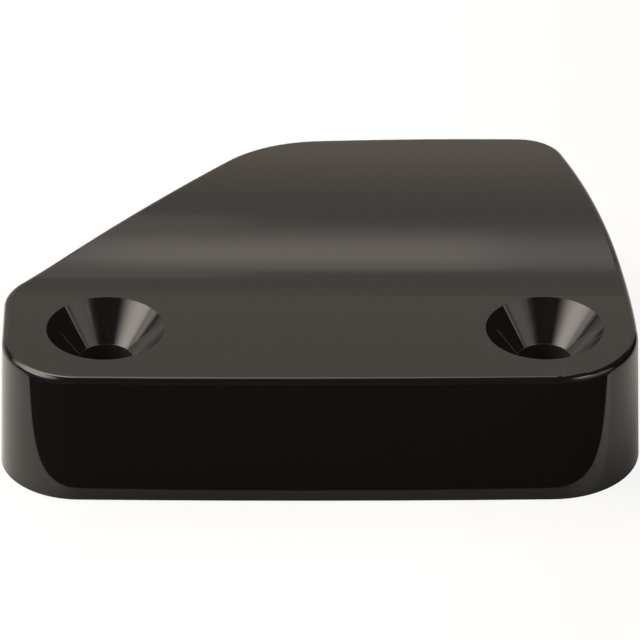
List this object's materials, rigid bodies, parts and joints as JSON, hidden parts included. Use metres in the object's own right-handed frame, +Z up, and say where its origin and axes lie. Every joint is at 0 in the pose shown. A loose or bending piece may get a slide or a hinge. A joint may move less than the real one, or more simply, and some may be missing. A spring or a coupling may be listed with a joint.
{
  "type": "jam cleat",
  "caption": "Low side-entry jam cleat: one black moulded block with countersunk screw holes and a toothed V jaw open at the rear that grips a rope laid along it.",
  "frame": {"origin": "middle of the base's outline box on the flat underside, z = 0 at the mounting plane", "axes": "+X along the rope, towards the loaded end; +Y from the screw side to the open jaw; +Z up"},
  "size_m": [0.0584, 0.0426, 0.0137],
  "materials": {
    "black_plastic": "gloss black, moulded through"
  },
  "bodies": {
    "root": {"cleat_body": "black_plastic"}
  },
  "joints": []
}
